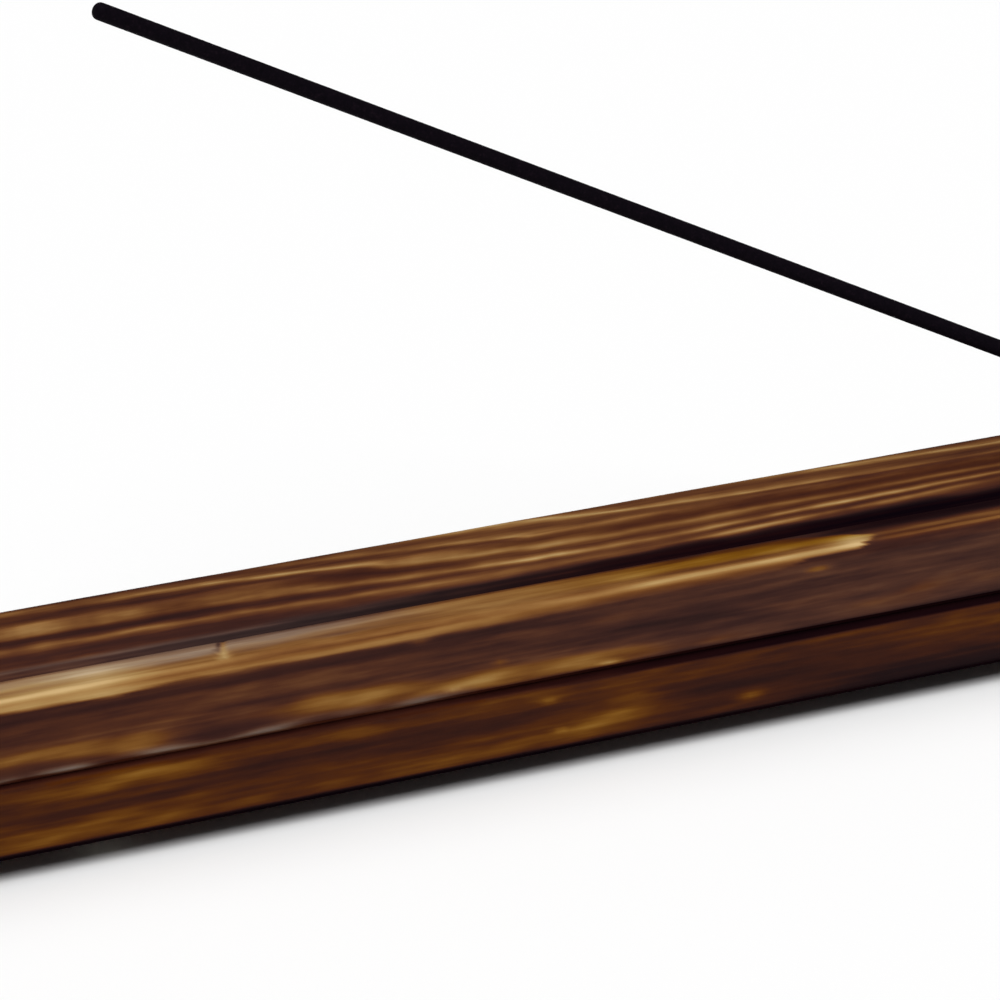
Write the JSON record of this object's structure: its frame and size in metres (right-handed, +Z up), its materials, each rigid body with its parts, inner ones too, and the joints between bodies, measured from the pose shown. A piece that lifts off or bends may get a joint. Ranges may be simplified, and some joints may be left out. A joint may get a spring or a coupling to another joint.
{
  "type": "incense stick holder",
  "caption": "Long torched-wood ash tray of stacked boards on rubber feet, with a cove for ash and a slanted socket that holds a black incense stick leaning over the cove.",
  "frame": {"origin": "on the surface that the feet stand on, under the middle of the boards", "axes": "+X along the boards towards the stick's socket, +Y from the front to the back, +Z up"},
  "size_m": [0.28, 0.036, 0.1262],
  "materials": {
    "torched_pine": "torch-burnt softwood, brown to black with golden streaks, under clear gloss varnish",
    "screw_steel": "zinc plated",
    "foot_rubber": "matt black",
    "bamboo": "bare split bamboo",
    "incense_paste": "matt black rolled charcoal and wood-powder paste"
  },
  "bodies": {
    "holder": {"tray_board": "torched_pine", "base_board": "torched_pine", "assembly_screws": "screw_steel", "foot_front_left": "foot_rubber", "foot_front_right": "foot_rubber", "foot_back_left": "foot_rubber", "foot_back_right": "foot_rubber"},
    "stick": {"stick_core": "bamboo", "stick_coating": "incense_paste"}
  },
  "joints": [
    {"name": "stick_pull", "type": "slide", "parent": "holder", "child": "stick", "axis": [-0.9018, 0, 0.4321], "range_m": [0, 0.04]}
  ]
}
